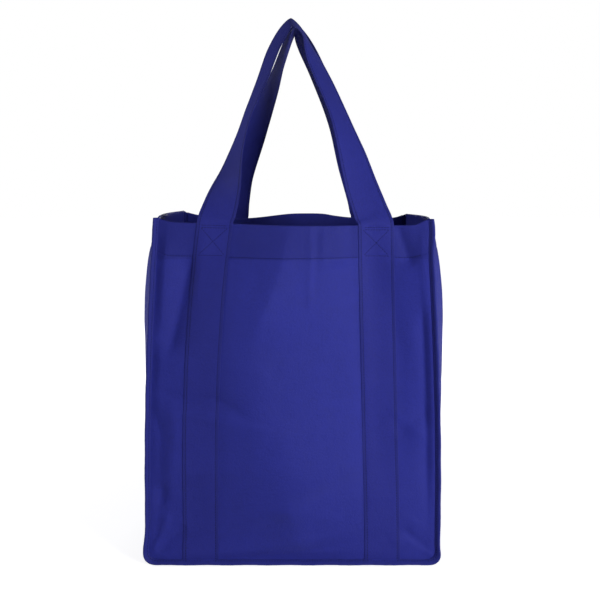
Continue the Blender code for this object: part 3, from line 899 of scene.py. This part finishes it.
def make_strap(side):
    """One strip: up the panel, round as the handle, and down the panel again.

    Returns the piece and the lines of its edge stitches, each with its outward directions.
    """
    profile, stitch, outer_count = strap_profile()
    rows = strap_rows()
    feet = []
    halves = []
    for leg in (0, 1):
        across = np.broadcast_to(profile[None, :, 0], (len(rows), len(profile)))
        z = np.broadcast_to(rows[:, None], across.shape)
        groove = box_groove(across, HEIGHT - z) * (profile[None, :, 1] > 0)
        sections, _ = on_strap(side, leg, across, z, profile[None, :, 1] - groove)
        halves.append(sections)
    tops = [sections[-1].mean(axis=0) for sections in halves]
    peak_height = (tops[0][2] + tops[1][2]) / 2 + HANDLE_RISE
    for leg, sections in enumerate(halves):
        leading = normalised(tops[leg] - sections[-4].mean(axis=0))
        towards = normalised(sections[-1, 0] - sections[-1, outer_count - 1])
        feet.append(handle_leg(side, leg, tops[leg], leading, towards, peak_height))
    centre = np.concatenate([feet[0][0], feet[1][0][-2::-1]])
    across = np.concatenate([feet[0][1], feet[1][1][-2::-1]])
    tangent = normalised(np.gradient(centre, axis=0))
    out = normalised(np.cross(tangent, across)) * side["facing"]
    curl = HANDLE_CURL * np.cos(np.linspace(0, 2 * math.pi, len(centre))) - HANDLE_CURL
    cupped = profile[None, :, 1] + curl[:, None] * ((2 * profile[None, :, 0] / STRAP_WIDTH) ** 2 - 0.5)
    handle = centre[:, None] + across[:, None] * profile[None, :, :1] + out[:, None] * cupped[..., None]
    sections = np.concatenate([halves[0], handle, halves[1][::-1]])
    length = run_along(sections.mean(axis=1))
    around = np.where(profile[:, 1] >= 0, profile[:, 0], 2 * STRAP_WIDTH - profile[:, 0])
    made = tube_mesh(side["name"] + "_webbing", sections, flat_places(around, length))
    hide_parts(side["name"] + "_strap")
    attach(made, "root")
    lines = []
    free = slice(len(rows), len(rows) + len(centre))
    for column in (stitch, outer_count - 1 - stitch):
        face, behind = sections[:, column], sections[:, 2 * outer_count - 2 - column]
        away = normalised(face - behind)
        lines += [(face, away), (behind[free], -away[free])]
    return made, lines


# Stitches


def read_along(places, length, vectors):
    """Vectors given at lengths along a line, read at other places along it."""
    return np.stack([np.interp(places, length, vectors[:, k]) for k in range(3)], axis=-1)


def stitch_run(points, out):
    """Even stitches along a line: the middle, direction and outward direction of each."""
    length = run_along(points)
    places = np.arange(STITCH_PITCH / 2, length[-1] - STITCH_PITCH / 2, STITCH_PITCH)
    ahead = read_along(places + STITCH_PITCH / 4, length, points)
    behind = read_along(places - STITCH_PITCH / 4, length, points)
    away = normalised(read_along(places, length, out))
    return read_along(places, length, points), normalised(ahead - behind), away


def stitch_shape():
    """One stitch lying along its first axis, its ends dipping into the cloth along its third."""
    half = ((1.0, 0.35, -0.9), (0.72, 0.85, -0.1))
    stations = [(-a, size, rise) for a, size, rise in half] + [(0.0, 1.0, 0.25), *reversed(half)]
    points = []
    for along, size, rise in stations:
        for k in range(STITCH_RING):
            turn = 2 * k * math.pi / STITCH_RING
            aside, up = size * math.cos(turn), rise + size * math.sin(turn)
            points.append((along * STITCH_LENGTH / 2, aside * THREAD / 2, up * THREAD / 2))
    return np.array(points), len(stations)


def make_stitches(name, runs):
    """All stitches of one thread as one piece."""
    shape, station_count = stitch_shape()
    parts = []
    for points, out in runs:
        middle, along, away = stitch_run(points, out)
        side_way = normalised(np.cross(away, along))
        away = np.cross(along, side_way)
        parts.append(
            middle[:, None]
            + shape[None, :, :1] * along[:, None]
            + shape[None, :, 1:2] * side_way[:, None]
            + shape[None, :, 2:] * away[:, None]
        )
    placed = np.concatenate(parts)
    sides, numbers = ring_faces(station_count, STITCH_RING)
    ends = [[r[0], r[k], r[k + 1], r[k + 2]] for r in (numbers[0][::-1], numbers[-1]) for k in (1, 3)]
    template = np.concatenate([sides, ends])
    offsets = np.arange(len(placed))[:, None, None] * len(shape)
    faces = (template[None] + offsets).reshape(-1, 4)
    made = smooth_object(name, placed.reshape(-1, 3), faces.tolist())
    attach(made, "root")
    return made


def hem_line(side):
    """The hem's stitches across a panel, left out where a strap covers them."""
    up = PANEL_TOP - HEM_STITCH
    z = np.array(SEAM_HEIGHT + up)
    edge = half_width(z) - HEM_LINE_INSET
    covered = STRAP_WIDTH / 2 + HEM_LINE_CLEARANCE
    stops = [-edge]
    for leg in (0, 1):
        middle = float(strap_middle(side, leg, z))
        stops += [middle - covered, middle + covered]
    stops.append(edge)
    runs = []
    for start, end in zip(stops[::2], stops[1::2]):
        x = np.arange(start, end, HEM_LINE_STEP)
        point, out = panel_frame(side, x, np.full(x.shape, up))
        runs.append((point + out * (CLOTH / 2 - THREAD_SINK), out))
    return runs


def box_lines(side):
    """The stitches of the box and cross on both straps of a panel."""
    runs = []
    for leg in (0, 1):
        for (a, u), (b, v) in cross_stitch_lines():
            share = np.linspace(0, 1, BOX_LINE_STATIONS)
            across, below = mix(a, b, share), mix(u, v, share)
            out_by = np.full(share.shape, STRAP_HALF_THICKNESS - GROOVE_DEPTH / 2)
            runs.append(on_strap(side, leg, across, HEIGHT - below, out_by))
    return runs


# Materials


class Recipe:
    """The node tree of a material or of the world, built step by step."""

    def __init__(self, made, shader="Principled BSDF"):
        made.use_nodes = True
        self.made = made
        self.tree = made.node_tree
        self.shader = self.tree.nodes[shader]

    def node(self, kind, inputs=(), **settings):
        """A node with its settings; each input is (name or number, value or the socket to link)."""
        made = self.tree.nodes.new(kind)
        for key, value in settings.items():
            setattr(made, key, value)
        for key, value in inputs:
            if isinstance(value, bpy.types.NodeSocket):
                self.tree.links.new(value, made.inputs[key])
            else:
                made.inputs[key].default_value = value
        return made

    def fixed(self, **values):
        """Constant values of the shader's sockets; an underscore stands for a space in a name."""
        for key, value in values.items():
            self.shader.inputs[key.replace("_", " ")].default_value = value

    def place(self):
        """Where each point of the piece lies."""
        return self.node("ShaderNodeTexCoord").outputs["Object"]

    def part(self, vector, axis):
        return self.node("ShaderNodeSeparateXYZ", (("Vector", vector),)).outputs[axis]

    def link(self, socket, name):
        self.tree.links.new(socket, self.shader.inputs[name])

    def maths(self, operation, a, b):
        return self.node("ShaderNodeMath", ((0, a), (1, b)), operation=operation).outputs[0]

    def noise(self, vector, scale, detail, roughness):
        settings = (("Vector", vector), ("Scale", scale), ("Detail", detail), ("Roughness", roughness))
        return self.node("ShaderNodeTexNoise", settings).outputs["Fac"]

    def ramp(self, value, low, high, start=0.0, end=1.0):
        span = (("From Min", low), ("From Max", high), ("To Min", start), ("To Max", end))
        return self.node("ShaderNodeMapRange", (("Value", value), *span)).outputs["Result"]

    def blend(self, share, a, b):
        made = self.node("ShaderNodeMix", ((0, share), (6, a), (7, b)), data_type="RGBA")
        return made.outputs[2]

    def bump(self, height, distance, strength, below=None):
        settings = [("Height", height), ("Distance", distance), ("Strength", strength)]
        if below is not None:
            settings.append(("Normal", below))
        return self.node("ShaderNodeBump", settings).outputs["Normal"]


def shade(colour, factor):
    return (*(part * factor for part in colour), 1.0)


def bonded_cloth(name, colour, dot_pitch, dot_depth, cloud, hem_height=None, edge_shade_width=None):
    """Spun cloth: a cloudy mat of fibres held by rows of small pressed dots. Painted shade makes it darker
    above hem_height and on a band of the given width along each edge of a strap.
    """
    recipe = Recipe(bpy.data.materials.new(name))
    flat = recipe.node("ShaderNodeUVMap", uv_map="flat").outputs["UV"]
    place = recipe.place()
    turn = (("Vector", flat), ("Rotation", (0, 0, math.radians(45))))
    turned = recipe.node("ShaderNodeMapping", turn).outputs["Vector"]
    pattern = (("Vector", turned), ("Scale", 1 / dot_pitch), ("Randomness", 0.12))
    dots = recipe.node("ShaderNodeTexVoronoi", pattern, voronoi_dimensions="2D").outputs["Distance"]
    pressed = recipe.ramp(dots, 0.20, 0.34)
    fibres = recipe.noise(flat, FIBRE_SCALE, 2.0, 0.7)
    mat = recipe.noise(place, MAT_SCALE, 4.0, 0.65)
    clouds = recipe.noise(place, CLOUD_SCALE, 3.0, 0.6)
    broad = recipe.noise(place, BROAD_SCALE, 2.0, 0.5)
    tone = recipe.blend(recipe.ramp(clouds, 0.32, 0.68), shade(colour, 1 - cloud), shade(colour, 1 + cloud))
    tone = recipe.blend(recipe.ramp(mat, 0.36, 0.64, 0.0, 0.8), tone, shade(colour, 1.2))
    tone = recipe.blend(recipe.ramp(broad, 0.35, 0.65, 0.0, 0.3), tone, shade(colour, 0.9))
    sunk = recipe.ramp(pressed, 0.0, 1.0, 0.22, 0.0)
    tone = recipe.blend(sunk, tone, shade(colour, 0.72))
    # Painted shade: the cloth is darker above the hem line, over the top band of the bag
    if hem_height:
        share, tone_there = HEM_SHADE
        start = hem_height - FINE / 2
        painted_hem_shade = recipe.ramp(recipe.part(place, "Z"), start, hem_height + FINE / 2, 0.0, share)
        tone = recipe.blend(painted_hem_shade, tone, shade(colour, tone_there))
    # Painted shade: a darker band between each of a strap's edge stitch lines and its edge
    if edge_shade_width:
        outwards = recipe.maths("PINGPONG", recipe.part(flat, "X"), STRAP_WIDTH / 2)
        share, tone_there = EDGE_SHADE
        start = STRAP_WIDTH / 2 - edge_shade_width
        painted_edge_shade = recipe.ramp(outwards, start - FINE / 2, start, 0.0, share)
        tone = recipe.blend(painted_edge_shade, tone, shade(colour, tone_there))
    recipe.link(tone, "Base Color")
    rough = recipe.ramp(mat, 0.3, 0.7, 0.62, 0.78)
    rough = recipe.maths("SUBTRACT", rough, recipe.ramp(pressed, 0.0, 1.0, 0.14, 0.0))
    recipe.link(rough, "Roughness")
    normal = recipe.bump(recipe.noise(place, WAVE_SCALE, 3.0, 0.5), 0.0014, 0.45)
    normal = recipe.bump(mat, 0.00060, 0.75, normal)
    normal = recipe.bump(fibres, 0.00008, 0.35, normal)
    normal = recipe.bump(pressed, dot_depth, 0.6, normal)
    recipe.link(normal, "Normal")
    recipe.fixed(Metallic=0.0, Sheen_Weight=0.03, Sheen_Roughness=0.5, Specular_IOR_Level=0.22)
    return recipe.made


def thread_material():
    recipe = Recipe(bpy.data.materials.new("sewing_thread"))
    ply = recipe.noise(recipe.place(), 3200.0, 2.0, 0.6)
    # The thread's dark tone is partly painted shade of its grooves
    tone = recipe.blend(ply, shade(THREAD_BLUE, 0.8), shade(THREAD_BLUE, 1.15))
    recipe.link(tone, "Base Color")
    recipe.link(recipe.bump(ply, 0.00006, 0.5), "Normal")
    recipe.fixed(Roughness=0.7, Specular_IOR_Level=0.15)
    return recipe.made


def board_material():
    """Hard grey sheet with a fine pressed grain and light rubbing."""
    recipe = Recipe(bpy.data.materials.new("board_sheet"))
    place = recipe.place()
    grain = recipe.noise(place, 900.0, 3.0, 0.6)
    scuffs = recipe.noise(place, 38.0, 5.0, 0.7)
    tone = recipe.blend(recipe.ramp(scuffs, 0.35, 0.7), shade(BOARD_GREY, 0.8), shade(BOARD_GREY, 1.35))
    recipe.link(tone, "Base Color")
    recipe.link(recipe.ramp(scuffs, 0.3, 0.7, 0.42, 0.62), "Roughness")
    recipe.link(recipe.bump(grain, 0.00012, 0.5), "Normal")
    return recipe.made


def paint(made, finish):
    made.data.materials.clear()
    made.data.materials.append(finish)


# Stage, light and camera


def make_floor():
    """A pale floor that keeps the shadow and, for the camera, turns white away from the bag."""
    mesh = bpy.data.meshes.new("floor")
    ring = [2 * math.pi * k / FLOOR_SIDES for k in range(FLOOR_SIDES)]
    points = [(FLOOR_REACH * math.cos(turn), FLOOR_REACH * math.sin(turn), 0.0) for turn in ring]
    mesh.from_pydata(points, [], [list(range(FLOOR_SIDES))])
    floor = add_object("floor", mesh)
    recipe = Recipe(bpy.data.materials.new("pale_floor"))
    recipe.fixed(Base_Color=FLOOR_GREY, Roughness=0.9, Specular_IOR_Level=0.1, Emission_Color=WHITE)
    path = recipe.node("ShaderNodeLightPath")
    seen = recipe.maths("MAXIMUM", path.outputs["Is Camera Ray"], path.outputs["Is Glossy Ray"])
    seen = recipe.maths("MAXIMUM", seen, path.outputs["Is Transmission Ray"])
    away = recipe.node("ShaderNodeVectorMath", ((0, recipe.place()),), operation="LENGTH")
    glow = recipe.ramp(away.outputs["Value"], WHITE_START, WHITE_END, FLOOR_GLOW, 1.0)
    recipe.link(recipe.maths("MULTIPLY", seen, glow), "Emission Strength")
    paint(floor, recipe.made)


def make_world():
    world = bpy.data.worlds.new("studio")
    bpy.context.scene.world = world
    recipe = Recipe(world, "Background")
    path = recipe.node("ShaderNodeLightPath")
    seen = recipe.maths("MAXIMUM", path.outputs["Is Camera Ray"], path.outputs["Is Transmission Ray"])
    recipe.link(recipe.ramp(seen, 0.0, 1.0, WORLD_LEVEL, 1.0), "Strength")
    recipe.fixed(Color=WHITE)


def make_lamp(name, place, aim, size, power):
    light = bpy.data.lights.new(name, "AREA")
    light.shape = "DISK"
    light.size = size
    light.energy = power
    lamp = add_object(name, light)
    lamp.location = place
    lamp.rotation_euler = (Vector(aim) - Vector(place)).to_track_quat("-Z", "Y").to_euler()


def make_camera():
    lens = bpy.data.cameras.new("camera")
    lens.lens = CAMERA_LENS
    lens.sensor_width = CAMERA_SENSOR
    lens.shift_y = CAMERA_SHIFT
    lens.clip_start = 0.01
    camera = add_object("camera", lens)
    camera.location = CAMERA_PLACE
    camera.rotation_euler = (math.radians(90 - CAMERA_TILT), 0, 0)
    bpy.context.scene.camera = camera


def main():
    dots = (DOT_PITCH, DOT_DEPTH)
    # The bag's cloth gets painted shade above the hem line, the strap cloth on its edge bands
    cloth = bonded_cloth("bonded_cloth", CLOTH_BLUE, *dots, CLOUD, hem_height=HEIGHT - HEM_DEPTH)
    # The strap cloth gets painted shade on the band outside its edge stitches
    strap_cloth = bonded_cloth(
        "strap_cloth", STRAP_BLUE, *dots, STRAP_CLOUD, edge_shade_width=STRAP_STITCH_INSET
    )
    tape_cloth = bonded_cloth("tape_cloth", TAPE_BLUE, TAPE_DOT_PITCH, TAPE_DOT_DEPTH, STRAP_CLOUD)
    thread = thread_material()
    paint(make_gusset(), cloth)
    for side in (FRONT, BACK):
        paint(make_panel(side), cloth)
        tape, tape_lines = make_tape(side)
        paint(tape, tape_cloth)
        strap, strap_lines = make_strap(side)
        paint(strap, strap_cloth)
        runs = strap_lines + box_lines(side) + hem_line(side) + tape_lines
        paint(make_stitches(side["name"] + "_stitches", runs), thread)
    paint(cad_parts["base_board"], board_material())
    make_floor()
    make_world()
    for lamp in LAMPS:
        make_lamp(*lamp)
    make_camera()
    bpy.context.scene.view_settings.view_transform = "Standard"


main()
